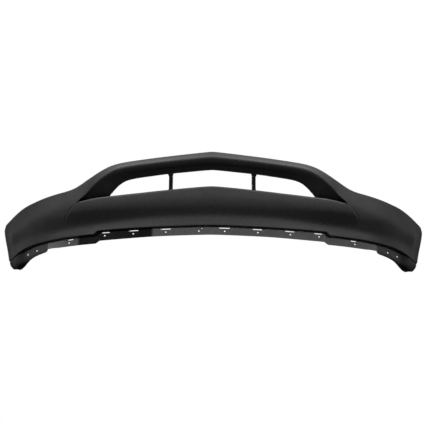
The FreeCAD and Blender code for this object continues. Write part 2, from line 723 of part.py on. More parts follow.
def pan_screw(length):
    """Pan-head self-tapping screw with a cross recess; seat at z=0, shank along +z."""
    tip, head_r, crown_r, head_step = 2.0, 3.9, 2.6, 1.2
    shank = upright(SCREW_R, 0, length - tip)
    shank = shank.fuse(cone(SCREW_R, 0.7, length - tip, tip))
    head = upright(head_r, -head_step, head_step)
    head = head.fuse(cone(crown_r, head_r, -2 * head_step, head_step))
    head = head.cut(box(-2.0, 2.0, -0.45, 0.45, -2.6, -1.3))
    head = head.cut(box(-0.45, 0.45, -2.0, 2.0, -2.6, -1.3))
    return shank.fuse(head).removeSplitter()


def strut_screws():
    screws = []
    for arc, z in STRUT_SCREWS:
        screw = pan_screw(9.0)
        screw.rotate(V(0, 0, 0), V(1, 0, 0), 90)      # shank points forward
        screw.translate(V(0, STRUT_FRONT + STRUT_T + 0.05, z))
        screws.append(placed(screw, arc, WEB_OUT, 0))
    return Part.Compound(screws)


def under_leg(shape, arc):
    """Seats an upright fastener just below the strip's leg."""
    return placed(shape, arc, FIX_OUT, lower_edge(arc) - STRIP_GAP - STRIP_T - 0.15)


# ---------------------------------------------------------------- push-in retainers
def retainer_body():
    """Flanged, slit barrel with a barbed nose; seat at z=0, barrel up."""
    barrel_r, barb_r = RETAINER_HOLE_R - 0.08, 5.0
    body = upright(5.8, -1.8, 1.8)
    body = body.fuse([upright(barrel_r, 0, 7.0), cone(barb_r, 3.2, 6.4, 5.0),
                      cone(barrel_r, barb_r, 6.0, 0.4)])
    body = body.cut(upright(2.05, -5, 30))
    body = body.cut([box(-8, 8, -0.6, 0.6, 1.0, 20), box(-0.6, 0.6, -8, 8, 1.0, 20)])
    return body.removeSplitter()


def retainer_pin():
    """Slotted head below the body's flange, with a tapered pin up through the barrel."""
    pin_r = 2.0
    pin = upright(4.6, -3.35, 1.5)
    pin = pin.fuse([upright(pin_r, -1.85, 12.0), cone(pin_r, 1.0, 10.15, 1.6)])
    return pin.cut(box(-3.2, 3.2, -0.5, 0.5, -3.6, -2.6)).removeSplitter()


# ---------------------------------------------------------------- U-nuts
def u_nut():
    """Sheet clip hugging the return: mouth forward, bight at the rear edge."""
    gap, wall, rear = 0.35, 1.0, 12.9
    low = -SKIN_T - gap - wall
    clip = box(-8, 8, -9, rear, gap, gap + wall)
    clip = clip.fuse([box(-8, 8, -9, rear, low, low + wall),
                      box(-8, 8, rear - wall, rear, low, gap + wall)])
    clip = clip.fuse(upright(4.6, low - 3.0, 3.2))
    return clip.cut(upright(3.0, -15, 30)).removeSplitter()


def wing_u_nuts():
    return Part.Compound([placed(u_nut(), side * arc, TOP_OUT(arc) - NUT_SETBACK, TOP_Z(arc))
                          for arc in NUT_ARCS for side in SIDES])


# ---------------------------------------------------------------- output
def export(name, shape):
    """Moves a piece to the exported origin and writes its solids."""
    origin_y = at(arc_at_x(PAIRS_X[0], STRIP_MID_OUT), STRIP_MID_OUT, 0)[1]
    shape = shape.copy()
    shape.translate(V(0, -origin_y, -open_hole_z(PAIRS_X[0])))
    solids = shape.Solids
    piece = solids[0] if len(solids) == 1 else Part.Compound(solids)
    piece.exportStep("parts/%s.step" % name)


side_flange, arch_flange = side_strip(), arch_strip()
flange_screw = pan_screw(12.0)
pieces = {
    "cover_skin": cover_skin(),
    "lower_flange_centre": centre_strip(),
    "lower_flange_right": side_flange,
    "lower_flange_left": mirror(side_flange),
    "arch_flange_right": arch_flange,
    "arch_flange_left": mirror(arch_flange),
    "strut_right": strut(STRUT_ARC),
    "strut_left": strut(-STRUT_ARC),
    "strut_screws": strut_screws(),
    "flange_screws": Part.Compound([under_leg(flange_screw, arc) for arc in SCREW_ARCS]),
    "wing_u_nuts": wing_u_nuts(),
}
for place, arc in RETAINER_ARCS.items():
    for side_name, side in (("left", -1), ("right", 1)):
        ending = "%s_%s" % (place, side_name)
        pieces["retainer_" + ending] = under_leg(retainer_body(), side * arc)
        pieces["retainer_pin_" + ending] = under_leg(retainer_pin(), side * arc)

os.makedirs("parts", exist_ok=True)
for name, shape in pieces.items():
    export(name, shape)
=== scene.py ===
# A wide moulded cover that wraps round both corners, with a proud chin in the middle, a
# see-through opening above it under a visor, and a sloped wing on each side.
# The front faces -Y, +X is the viewer's right and +Z is up. The cover is symmetric about X = 0.
# Its shape is worked out in millimetres: "along" is the signed arc length of the plan curve
# from the middle, "reach" its absolute value, and "out" the distance outward from the curve
# (forward in the middle). Meshes, lights and camera are placed in metres.
import json
import math
from bisect import bisect_right

import bpy
import numpy as np
from mathutils import Matrix, Vector

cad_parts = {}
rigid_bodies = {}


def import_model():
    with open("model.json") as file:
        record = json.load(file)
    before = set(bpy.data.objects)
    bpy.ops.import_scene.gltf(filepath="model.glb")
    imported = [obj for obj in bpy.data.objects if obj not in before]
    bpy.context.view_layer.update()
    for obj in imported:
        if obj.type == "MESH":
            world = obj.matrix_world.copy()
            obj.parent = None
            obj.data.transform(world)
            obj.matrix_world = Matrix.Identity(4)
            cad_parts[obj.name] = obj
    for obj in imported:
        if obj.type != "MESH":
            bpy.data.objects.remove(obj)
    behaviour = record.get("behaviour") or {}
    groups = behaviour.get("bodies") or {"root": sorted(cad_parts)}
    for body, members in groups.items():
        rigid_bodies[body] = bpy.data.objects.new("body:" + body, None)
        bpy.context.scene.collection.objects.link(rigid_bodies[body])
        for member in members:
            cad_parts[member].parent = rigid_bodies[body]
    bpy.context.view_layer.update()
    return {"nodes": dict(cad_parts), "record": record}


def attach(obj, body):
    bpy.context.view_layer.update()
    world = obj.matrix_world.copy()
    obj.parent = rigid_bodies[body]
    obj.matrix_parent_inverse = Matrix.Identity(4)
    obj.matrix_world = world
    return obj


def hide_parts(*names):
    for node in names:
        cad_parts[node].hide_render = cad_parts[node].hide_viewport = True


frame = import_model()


# ---------------------------------------------------------------- curves and blends
def interval(xs, x):
    """Index of the interval of xs that holds x."""
    return min(bisect_right(xs, x), len(xs) - 1) - 1


def monotone(table):
    """Monotone cubic through (x, y) pairs, held flat past both ends."""
    xs, ys = zip(*table)
    count = len(xs)
    gaps = [xs[i + 1] - xs[i] for i in range(count - 1)]
    slopes = [(ys[i + 1] - ys[i]) / gaps[i] for i in range(count - 1)]
    tangents = [0.0] * count
    for i in range(1, count - 1):
        if slopes[i - 1] * slopes[i] > 0:
            left = 2 * gaps[i] + gaps[i - 1]
            right = gaps[i] + 2 * gaps[i - 1]
            tangents[i] = (left + right) / (left / slopes[i - 1] + right / slopes[i])
    tangents[0], tangents[-1] = slopes[0], slopes[-1]

    def value(x):
        if x <= xs[0]:
            return ys[0]
        if x >= xs[-1]:
            return ys[-1]
        i = interval(xs, x)
        t = (x - xs[i]) / gaps[i]
        t2, t3 = t * t, t * t * t
        return ((2 * t3 - 3 * t2 + 1) * ys[i] + (t3 - 2 * t2 + t) * gaps[i] * tangents[i]
                + (3 * t2 - 2 * t3) * ys[i + 1] + (t3 - t2) * gaps[i] * tangents[i + 1])
    return value


def spline(xs, ys, start_slope):
    """C2 cubic, clamped at the start and natural at the end; gives value and slope."""
    last = len(xs) - 1
    gaps = [xs[i + 1] - xs[i] for i in range(last)]
    slopes = [(ys[i + 1] - ys[i]) / gaps[i] for i in range(last)]
    diagonal = [2 * gaps[0]] + [2 * (gaps[i - 1] + gaps[i]) for i in range(1, last)]
    right = [3 * (slopes[0] - start_slope)]
    right += [3 * (slopes[i] - slopes[i - 1]) for i in range(1, last)]
    for i in range(1, last):
        weight = gaps[i - 1] / diagonal[i - 1]
        diagonal[i] -= weight * gaps[i - 1]
        right[i] -= weight * right[i - 1]
    bends = [0.0] * (last + 1)
    for i in range(last - 1, -1, -1):
        bends[i] = (right[i] - gaps[i] * bends[i + 1]) / diagonal[i]

    def value_and_slope(x):
        i = interval(xs, x)
        t = x - xs[i]
        linear = slopes[i] - gaps[i] * (2 * bends[i] + bends[i + 1]) / 3
        third = (bends[i + 1] - bends[i]) / (3 * gaps[i])
        return (ys[i] + linear * t + bends[i] * t * t + third * t ** 3,
                linear + 2 * bends[i] * t + 3 * third * t * t)
    return value_and_slope


def ease(start, end, x):
    """Smooth 0 to 1 between start and end."""
    t = min(1.0, max(0.0, (x - start) / (end - start)))
    return t * t * (3 - 2 * t)


def mix(first, second, weight):
    return first + (second - first) * weight


def mix_point(first, second, weight):
    return mix(first[0], second[0], weight), mix(first[1], second[1], weight)


def ramp(z, base, knee, width):
    """Rise from base to z of a ramp that turns on at knee over a width."""
    def rise(height):
        return 0.5 * ((height - knee) + math.sqrt((height - knee) ** 2 + width * width))
    return rise(z) - rise(base)


# ---------------------------------------------------------------- plan curve, right half
# x, y
PLAN = [
    (0, 0.0), (50, 4.6), (100, 11.9), (150, 20.6), (200, 30.6), (250, 42.0), (300, 55.0),
    (350, 69.6), (400, 86.2), (450, 105.2), (500, 127.0), (550, 152.5), (600, 183.5),
    (650, 222.5), (700, 271.5), (745, 328.0), (783, 390.0), (815, 452.0), (842, 514.0),
    (868, 583.0), (891, 641.0), (909.5, 680.0)]
plan_lengths = [0.0]
for near, far in zip(PLAN, PLAN[1:]):
    plan_lengths.append(plan_lengths[-1] + math.hypot(far[0] - near[0], far[1] - near[1]))
plan_x = spline(plan_lengths, [x for x, y in PLAN], 1.0)
plan_y = spline(plan_lengths, [y for x, y in PLAN], 0.0)
END = plan_lengths[-1]             # reach of the cover's ends


def place(along, out, z):
    """Point at arc length along, pushed out along the plan curve's normal."""
    x, slope_x = plan_x(abs(along))
    y, slope_y = plan_y(abs(along))
    length = math.hypot(slope_x, slope_y)
    side = -1.0 if along < 0 else 1.0
    return side * x + side * slope_y / length * out, y + -slope_x / length * out, z


def reach_at_x(x, out):
    """Reach of the point that lies at x > 0 when pushed out."""
    low, high = 0.0, END
    for _ in range(60):
        middle = 0.5 * (low + high)
        if place(middle, out, 0)[0] < x:
            low = middle
        else:
            high = middle
    return 0.5 * (low + high)


# ---------------------------------------------------------------- tables over reach: (reach, value)
top_z = monotone([                 # height of the top edge
    (0, 321), (12, 320.6), (55, 317.8), (104, 314.5), (154, 311.2), (204, 308.1), (255, 304.9),
    (307, 301.7), (359, 298.5), (386, 296.4), (414, 292.8), (441, 287.2), (469, 278.1),
    (498, 266.2), (527, 252.7), (558, 238.6), (588, 224.8), (620, 213.5), (655, 207.8),
    (692, 205.9), (778, 205.0), (882, 204.6), (950, 203.6), (1010, 201), (1070, 196.2),
    (1135, 188.3), (1165, 183), (1200, 175), (END, 167)])
top_out = monotone([               # offset of the top edge
    (0, -49), (560, -49), (640, -46), (800, -42), (900, -34), (1000, -18), (1080, -4),
    (1150, 9), (END, 22)])
nose_z = monotone([                # height of the visor's nose
    (0, 283.5), (12, 283.2), (97, 279.3), (195, 275.2), (294, 270.2), (345, 266.9), (375, 264),
    (397, 260.5), (423, 252.3), (450, 239.4), (477, 222.0), (505, 200.5), (534, 179), (556, 163)])
visor_foot_z = monotone([          # height of the visor's rear lower edge
    (0, 252), (12, 251.7), (106, 246.6), (206, 241.3), (258, 237.4), (310, 233.7), (336, 231.3),
    (363, 227.0), (385, 219.5), (402, 209.5), (417, 197.5), (432, 184), (445, 171), (455, 158),
    (462, 150)])
shelf_z = monotone([               # height that the shelf on top of the chin is set from
    (0, 172.3), (12, 172.1), (49, 170.6), (96, 168.0), (144, 165.2), (193, 162.3), (242, 159.3),
    (291, 156.1), (342, 153.7), (394, 151.4), (430, 150.3), (470, 148.9), (510, 146.0),
    (545, 141.5), (575, 136.0)])
break_z = monotone([               # height where the wing turns from upright to sloped
    (540, 146), (575, 136), (600, 131), (650, 123), (700, 116), (850, 101), (1000, 90),
    (1100, 95), (1170, 118), (END, 136)])
lean_out = monotone([              # outward lean of the wing at LEAN_HEIGHT
    (0, 0), (800, 0), (900, 3), (1000, 12), (1100, 22), (END, 29)])
undercut_slope = monotone([
    (560, 0.24), (640, 0.26), (750, 0.32), (1000, 0.33), (1080, 0.29), (1150, 0.14),
    (END, 0.03)])
lip_slope = monotone([(560, 0.30), (1000, 0.26), (1120, 0.15), (END, 0.03)])
# (height, reach) of the feature line between chin and wing
crease_reach = monotone([
    (40, 643), (57, 639), (71, 634), (99, 615), (120, 597), (132, 583.5), (141, 573),
    (150, 562), (170, 545)])

# ---------------------------------------------------------------- sizes of the section
BOTTOM_MIDDLE, BOTTOM_SIDE = 11.0, -3.0    # height of the lower edge in the middle and beside it
BOTTOM_END_RISE = 3.0
RECESS_END = 575.0                 # reach where the opening's recess ends
WINDOW_END = 462.0                 # reach where the visor's foot table ends
NOSE_END = 556.0                   # reach where the nose's table ends
HEM_DEPTH = 38.0                   # how far the hem under the lower edge lies behind the curve
RETURN_DEPTH = 26.0                # depth of the return along the top edge
SKIN_THICKNESS = 3.0
LEAN_HEIGHT = 126.0
BREAK_WIDTH = 24.0                 # height over which the wing turns at its break line
FACE_STEPS = 62                    # steps up the front face
STRIP_HALF = 5.0                   # half height of the strip of wing that the recess closes into
STRIP_SHELF = 4.0                  # height in the strip that stands for shoulder and shelf,
STRIP_WEB = 2.0                    # and for the web; the visor's underside takes the rest
RECESS_DEPTH = 60.0
RECESS_END_RISE = 22.0             # how much shallower the recess is at its end
SHOULDER_START = math.radians(17.0)        # direction of the shoulder's first normal
# how far up from the strip to the top edge the wing's nine last rows lie
UPPER_SHARES = (0.06, 0.12, 0.19, 0.27, 0.36, 0.52, 0.68, 0.84, 1.0)


def edge_z(reach, start, end):
    """Height of the lower edge, stepping down between start and end."""
    return mix(BOTTOM_MIDDLE, BOTTOM_SIDE, ease(start, end, reach)) \
        + BOTTOM_END_RISE * ease(700, 1000, reach)


def bottom_z(reach):
    """Real height of the lower edge, with its joggle."""
    return edge_z(reach, 464, 480)


def base_z(reach):
    """Height the front face's offsets are measured from; it smooths out the joggle."""
    return edge_z(reach, 300, 640)


# origin of the model: its y is that of a point 21.25 behind the plan curve at x = 49.5,
# its z lies 17.8 under the lower edge
ORIGIN_Y = place(reach_at_x(49.5, -21.25), -21.25, 0)[1]
ORIGIN_Z = bottom_z(0.0) - 17.8


# ---------------------------------------------------------------- front face
def wing_low(reach, z):
    """Lip, undercut and outward lean of the wing below its break line."""
    base = base_z(reach)
    under, lip = undercut_slope(reach), lip_slope(reach)
    lip_top = mix(34.0, 46.0, ease(780, 1020, reach))
    under_top = min(mix(88.0, 98.0, ease(640, 760, reach)), break_z(reach))
    rise = max(0.0, (z - base) / LEAN_HEIGHT)
    lean = mix(min(1.0, rise) * (2 - min(1.0, rise)), min(1.1, rise), ease(1090, END, reach))
    inset = 8.0 * ease(-3, 46, z) * (1 - ease(640, 800, reach))
    return (-lip * (z - base) + (under + lip) * ramp(z, base, lip_top, 10.0)
            - under * ramp(z, base, under_top, 12.0) + lean_out(reach) * lean - inset)


def wing(reach, z):
    """Offset of the wing, sloped above its break line so that it ends on the top edge."""
    base, knee, top = base_z(reach), break_z(reach), top_z(reach)
    slope = (top_out(reach) - wing_low(reach, top)) / ramp(top, base, knee, BREAK_WIDTH)
    return wing_low(reach, z) + slope * ramp(z, base, knee, BREAK_WIDTH)


def chin(reach, z):
    """Offset of the middle: lip, undercut, upright nose and sloping upper face."""
    base = base_z(reach)
    side = ease(150, 560, reach)
    lip, under = mix(0.30, 0.40, side), mix(0.32, 0.45, side)
    return (-lip * (z - base) + (lip + under) * ramp(z, base, mix(60.0, 49.0, side), 10.0)
            - (under + 0.05) * ramp(z, base, mix(87.0, 97.0, side), 11.0)
            - 0.25 * ramp(z, base, 122.0, 20.0))


def front(reach, z):
    """The chin stands proud, curls in and meets the wing in a sunk feature line."""
    curl = mix(110.0, 20.0, ease(42, 72, z))
    past = reach - crease_reach(z)
    share = past / curl
    if share <= -1:
        weight = 1.0
    elif share >= 0:
        weight = 0.0
    else:
        weight = 1 - (1 + share) ** 2
    sunk = 1.7 * math.exp(-((past + 1.0) / 3.6) ** 2) * ease(50, 80, z)
    return mix(wing(reach, z), chin(reach, z), weight) - sunk


# ---------------------------------------------------------------- folded section
def shelf_top(reach):
    return shelf_z(min(reach, RECESS_END)) + 2.0


def web_heights(reach):
    """Lower and upper height of the web behind the opening."""
    low = shelf_top(reach) - 1.0
    return low, max(visor_foot_z(min(reach, WINDOW_END)), low + 6.0)


def round_corner(foot, corner, end, radius):
    """Rounds foot-corner-end: where the arc starts and stops, and five points along it."""
    rise = (corner[0] - foot[0], corner[1] - foot[1])
    run = (end[0] - corner[0], end[1] - corner[1])
    rise_length, run_length = math.hypot(*rise), math.hypot(*run)
    rise = (rise[0] / rise_length, rise[1] / rise_length)
    run = (run[0] / run_length, run[1] / run_length)
    cosine = -(rise[0] * run[0] + rise[1] * run[1])
    half = 0.5 * math.acos(max(-1.0, min(1.0, cosine)))
    tangent, sine = math.tan(max(half, 0.3)), math.sin(max(half, 0.3))
    cut = max(1.0, min(radius / tangent, 0.44 * rise_length, 0.44 * run_length))
    start = (corner[0] - rise[0] * cut, corner[1] - rise[1] * cut)
    stop = (corner[0] + run[0] * cut, corner[1] + run[1] * cut)
    middle = (run[0] - rise[0], run[1] - rise[1])
    middle_length = max(1e-6, math.hypot(*middle))
    away = cut * tangent / sine
    centre = [corner[i] + middle[i] / middle_length * away for i in range(2)]
    turn = math.pi - 2 * half
    arc = []
    for k in range(1, 6):
        f = k / 5.0
        if turn > 0.15 and 0.3 < half:
            first = math.sin((1 - f) * turn) / math.sin(turn)
            second = math.sin(f * turn) / math.sin(turn)
            arc.append(tuple(centre[i] + first * (start[i] - centre[i])
                             + second * (stop[i] - centre[i]) for i in range(2)))
        else:
            arc.append(mix_point(start, stop, f))
    return start, stop, arc


def section(along):
    """Section as five runs of (out, z) points: hem, face to shelf, web, visor, top return.

    Every point is a blend of one on the recessed middle and one on the plain wing.
    """
    reach = abs(along)
    bottom, top, top_offset = bottom_z(reach), top_z(reach), top_out(reach)
    strip = break_z(reach) - STRIP_HALF
    inside = min(1.0, max(0.0, (RECESS_END - reach) / (RECESS_END - WINDOW_END)))
    recess = ease(0.0, 0.16, inside)       # 1 where the recess is real, 0 on the wing

    def on_wing(z):
        return wing(reach, z), z

    # hem and lower edge
    edge = front(reach, bottom)
    hem = [(-HEM_DEPTH * share, bottom) for share in (1, 0.66, 0.33)] + [(edge - 2.6, bottom)]

    # front face
    radius = 9.0 * ease(0.0, 0.35, inside) + 4.0
    shelf = shelf_top(reach)
    shoulder_z = shelf - radius * (1 - math.sin(SHOULDER_START))
    face_top = mix(strip, shoulder_z, recess)
    face = [hem[-1], (edge - 0.7, bottom + 0.6)]
    for k in range(FACE_STEPS + 1):
        f = k / FACE_STEPS
        spread = f - 0.045 * math.sin(2 * math.pi * f)
        z = bottom + 2.2 + (face_top - bottom - 2.2) * spread
        face.append((front(reach, z), z))

    # rounded shoulder, then the shelf back to the web
    shoulder_out = face[-1][0]
    shoulder = []
    for k in range(1, 7):
        angle = SHOULDER_START + (math.pi / 2 - SHOULDER_START) * k / 6.0
        shoulder.append((shoulder_out + radius * (math.cos(angle) - math.cos(SHOULDER_START)),
                         shoulder_z + radius * (math.sin(angle) - math.sin(SHOULDER_START))))
    shelf_front = shoulder[-1][0]
    depth = RECESS_DEPTH - mix(RECESS_END_RISE, 0.0, ease(0.0, 1.0, inside))
    web_out = min(-depth, shelf_front - 3.0)
    for k in range(1, 4):
        shoulder.append((mix(shelf_front, web_out, k / 3.0), shelf - 1.0 * k / 3.0))
    for k, point in enumerate(shoulder, 1):
        face.append(mix_point(on_wing(strip + STRIP_SHELF * k / 9.0), point, recess))

    # web across the opening, or back wall of the recess
    web_low, web_top = web_heights(reach)
    web = []
    for k in range(4):
        plain = on_wing(strip + STRIP_SHELF + STRIP_WEB * k / 3.0)
        web.append(mix_point(plain, (web_out, mix(web_low, web_top, k / 3.0)), recess))

    # visor's underside, rounded nose and upper face
    radius = 20.5 - 10.5 * ease(380, 500, reach) - 8.5 * ease(490, 560, reach)
    corner_z = max(nose_z(min(reach, NOSE_END)) - max(0.0, reach - NOSE_END) * 0.9,
                   web_top + 2.0)
    corner_out = mix(-15.0 - 4.0 * ease(300, 520, reach) + 0.57 * radius,
                     wing(reach, corner_z), ease(505, 567, reach))
    corner_z = max(corner_z - 0.24 * radius - 2.0 * ease(100, 250, reach), web_top + 2.0)
    start, stop, upper = round_corner((web_out, web_top), (corner_out, corner_z),
                                      (top_offset, top), radius)
    visor = []
    for k in range(4):
        f = k / 3.0
        plain = on_wing(strip + STRIP_SHELF + STRIP_WEB + 4.0 * f)
        bow = 2.0 * math.sin(math.pi * f) * recess
        under = (mix(web_out, start[0], f) - bow * 0.5, mix(web_top, start[1], f) + bow)
        visor.append(mix_point(plain, under, recess))
    for f in (0.36, 0.70, 0.88, 1.0):
        upper.append((mix(stop[0], top_offset, f) + 1.2 * math.sin(math.pi * f),
                      mix(stop[1], top, f)))
    strip_top = strip + 2 * STRIP_HALF
    plainness = ease(505, 600, reach)
    for point, share in zip(upper, UPPER_SHARES):
        plain = on_wing(strip_top + (top - strip_top) * share)
        visor.append(mix_point(point, plain, plainness))

    top_return = [(top_offset - RETURN_DEPTH * k / 3.0, top) for k in range(4)]
    return [hem, face, web, visor, top_return]


# ---------------------------------------------------------------- from sections to a grid of points
RUN_ROWS = (5, 118, 5, 60, 6)      # points sampled on each run
WEB_RUN = 2
FOLD_ROWS = 5                      # points added in each rounded fold
OUTER_RADII = (2.4, 2.6, 2.2, 5.0)         # length trimmed off each side of the four folds
INNER_RADII = (0.5, 0.6, 3.5, 1.5)


def spline_weights(poles, samples):
    """Clamped uniform cubic B-spline: one row of pole weights for each sample."""
    degree = 3
    spans = poles - degree
    knots = ([0.0] * (degree + 1) + [float(i) for i in range(1, spans)]
             + [float(spans)] * (degree + 1))
    weights = np.zeros((samples, poles))
    weights[-1, -1] = 1.0
    for row in range(samples - 1):
        t = spans * row / (samples - 1)
        values = [1.0 if knots[i] <= t < knots[i + 1] else 0.0 for i in range(len(knots) - 1)]
        for d in range(1, degree + 1):
            for i in range(len(knots) - 1 - d):
                rising = falling = 0.0
                if knots[i + d] > knots[i]:
                    rising = (t - knots[i]) / (knots[i + d] - knots[i]) * values[i]
                if knots[i + d + 1] > knots[i + 1]:
                    falling = ((knots[i + d + 1] - t) / (knots[i + d + 1] - knots[i + 1])
                               * values[i + 1])
                values[i] = rising + falling
        weights[row] = values[:poles]
    return weights


def trim(line, start_cut, end_cut):
    """Cuts arc length from both ends of a polyline, keeping the count of points."""
    lengths = np.concatenate([[0], np.cumsum(np.linalg.norm(np.diff(line, axis=0), axis=1))])
    total = lengths[-1]
    start_cut, end_cut = min(start_cut, 0.35 * total), min(end_cut, 0.35 * total)
    kept = start_cut + (total - start_cut - end_cut) * lengths / total
    return np.stack([np.interp(kept, lengths, line[:, axis]) for axis in range(3)], axis=1)


def trim_web(line, start_cut, end_cut):
    """Moves only the two end points of the web, so the opening's edges stay."""
    direction = (line[-1] - line[0]) / max(np.linalg.norm(line[-1] - line[0]), 1e-9)
    kept = line.copy()
    kept[0] = line[0] + direction * min(start_cut, 0.8 * np.linalg.norm(line[1] - line[0]))
    kept[-1] = line[-1] - direction * min(end_cut, 0.8 * np.linalg.norm(line[-1] - line[-2]))
    return kept


def fold_arc(start, corner, end):
    t = np.linspace(0, 1, FOLD_ROWS + 2)[1:-1, None]
    return (1 - t) ** 2 * start + 2 * t * (1 - t) * corner + t * t * end


def pole_runs(stations):
    """One array (station, pole, xyz) for each run of the section."""
    sections = [section(along) for along in stations]
    return [np.array([[place(along, out, z) for out, z in runs[k]]
                      for along, runs in zip(stations, sections)])
            for k in range(len(RUN_ROWS))]


def inner_side(runs, thickness):
    """The same poles moved to the inner side of the skin."""
    poles = np.concatenate([runs[0]] + [run[:, 1:] for run in runs[1:]], axis=1)
    across = np.empty_like(poles)
    across[1:-1] = poles[2:] - poles[:-2]
    across[0], across[-1] = poles[1] - poles[0], poles[-1] - poles[-2]
    steps = np.diff(poles, axis=1)
    normals = []
    for side in ([steps[:, :1], steps], [steps, steps[:, -1:]]):
        normal = np.cross(across, np.concatenate(side, axis=1))
        normal /= np.maximum(np.linalg.norm(normal, axis=2, keepdims=True), 1e-9)
        normals.append(normal)
    below, above = normals
    stretch = 1.0 / np.maximum(0.35, 1 + (below * above).sum(2, keepdims=True))
    moved = poles - (below + above) * stretch * thickness
    result, first = [], 0
    for run in runs:
        count = run.shape[1]
        result.append(moved[:, first:first + count])
        first += count - 1
    return result


def fold(runs, radii, web_shares):
    """Samples every run and rounds the folds between them."""
    weights = {k: spline_weights(run.shape[1], RUN_ROWS[k])
               for k, run in enumerate(runs) if k != WEB_RUN}
    start_cuts, end_cuts = (0.0,) + radii, radii + (0.0,)
    grid = []
    for i, (low, high) in enumerate(web_shares):
        column = []
        for k, run in enumerate(runs):
            if k == WEB_RUN:
                f = np.array([0.0, low, 0.5 * (low + high), high, 1.0])[:, None]
                line = run[i, 0] * (1 - f) + run[i, -1] * f
                kept = trim_web(line, start_cuts[k], end_cuts[k])
            else:
                line = weights[k] @ run[i]
                kept = trim(line, start_cuts[k], end_cuts[k])
            if k > 0:
                column.append(fold_arc(column[-1][-1], line[0], kept[0]))
            column.append(kept)
        grid.append(np.concatenate(column))
    return np.array(grid)


# ---------------------------------------------------------------- stations and opening
SILL, HEAD = 4.0, 4.5              # web left standing below and above the opening
STRUT_REACH = reach_at_x(165.0, -60)       # place of the narrowed stretch of the opening
STRUT_HALF = 7.5                   # half width of that stretch
STRUT_FLARE = 11.6                 # distance from its middle where the opening starts to narrow
STRUT_DROP = 10.0                  # how much lower the opening's upper edge is there,
STRUT_LIFT = 12.0                  # and how much higher its lower edge


def opening_edges(reach):
    low, top = web_heights(reach)
    return low + SILL, top - HEAD


def opening_height(reach):
    low, high = opening_edges(reach)
    return high - low


# the opening ends at the last 8 mm step where it is still more than 7 mm high
OPENING_END = 8.0 * max(k for k in range(57) if opening_height(8.0 * k) > 7.0)


def cover_stations():
    """Arc lengths of the sections, closer together where the shape changes fast."""
    half, along = [], 0.0
    while along < END - 4:
        half.append(along)
        if along < 18:
            along += 3.0
        elif 550 < along < 662:
            along += 2.0
        elif 430 < along < 680:
            along += 3.5
        else:
            along += 6.0
    half += [END, OPENING_END]
    for gap in (12.4, STRUT_FLARE, STRUT_HALF + 0.02, STRUT_HALF):
        half += [STRUT_REACH - gap, STRUT_REACH + gap]
    half = sorted(set(round(x, 4) for x in half))
    kept = [x for i, x in enumerate(half)
            if i == 0 or x - half[i - 1] > 0.9
            or abs(abs(x - STRUT_REACH) - STRUT_HALF - 0.01) < 0.05
            or abs(x - OPENING_END) < 1e-3]
    return [-x for x in reversed(kept) if x > 0] + kept


def web_share(reach):
    """Where the opening's lower and upper edges lie on the web, as shares of its height."""
    if reach < OPENING_END + 1.0:
        low, high = opening_edges(reach)
        strut_low, strut_high = opening_edges(STRUT_REACH)
        gap = abs(reach - STRUT_REACH)
        if gap <= STRUT_HALF + 0.01:
            low, high = strut_low + STRUT_LIFT, strut_high - STRUT_DROP
        elif gap < STRUT_FLARE:
            narrowing = (STRUT_FLARE - gap) / (STRUT_FLARE - STRUT_HALF)
            high = min(high, strut_high - STRUT_DROP * narrowing)
        web_low, web_top = web_heights(reach)
        height = web_top - web_low
        return (low - web_low) / height, (high - web_low) / height
    web_low, web_top = web_heights(OPENING_END)
    height = web_top - web_low
    settle = ease(OPENING_END, OPENING_END + 20, reach)
    return mix(SILL / height, 1 / 3.0, settle), mix(1 - HEAD / height, 2 / 3.0, settle)


# ---------------------------------------------------------------- cover skin
def cover_mesh():
    """Outer and inner grids of points, joined along every rim, with the opening left out."""
    stations = cover_stations()
    shares = [web_share(abs(x)) for x in stations]
    is_open = [abs(x) <= OPENING_END + 1e-3 for x in stations]
    outer_runs = pole_runs(stations)
    outer = fold(outer_runs, OUTER_RADII, shares)
    inner = fold(inner_side(outer_runs, SKIN_THICKNESS), INNER_RADII, shares)
    columns, rows = outer.shape[:2]
    row_low = RUN_ROWS[0] + FOLD_ROWS + RUN_ROWS[1] + FOLD_ROWS + 1    # opening's lower edge
    row_high = row_low + 2
    offset = columns * rows
    quads = []

    def rim(first, second, flip):
        quad = (first, offset + first, offset + second, second)
        quads.append(quad[::-1] if flip else quad)

    for i in range(columns - 1):
        for j in range(rows - 1):
            if row_low <= j < row_high and is_open[i] and is_open[i + 1]:
                continue
            quad = (i * rows + j, (i + 1) * rows + j, (i + 1) * rows + j + 1, i * rows + j + 1)
            quads.append(quad)
            quads.append(tuple(offset + index for index in reversed(quad)))
    for i in range(columns - 1):
        edges = [(0, False), (rows - 1, True)]
        if is_open[i] and is_open[i + 1]:
            edges += [(row_high, False), (row_low, True)]
        for j, flip in edges:
            rim(i * rows + j, (i + 1) * rows + j, flip)
    for j in range(rows - 1):
        for i, flip in ((0, True), (columns - 1, False)):
            rim(i * rows + j, i * rows + j + 1, flip)
    open_columns = [i for i in range(columns) if is_open[i]]
    for j in range(row_low, row_high):
        for i, flip in ((open_columns[0], False), (open_columns[-1], True)):
            rim(i * rows + j, i * rows + j + 1, flip)
    return np.concatenate([outer.reshape(-1, 3), inner.reshape(-1, 3)]), quads


def build_object(name, points, quads):
    points[:, 1] -= ORIGIN_Y
    points[:, 2] -= ORIGIN_Z
    points *= 0.001
    mesh = bpy.data.meshes.new(name)
    mesh.from_pydata(points.tolist(), [], quads)
    mesh.validate()
    mesh.update()
    mesh.shade_smooth()
    ob = bpy.data.objects.new(name, mesh)
    bpy.context.scene.collection.objects.link(ob)
    return ob


# pairs of round holes in the top return, in mm
INNER_HOLES = dict(xs=(120.0, 300.0), inset=13.0, radius=3.5)
OUTER_HOLES = dict(reaches=(730.0, 850.0), inset=16.0, radius=4.5)


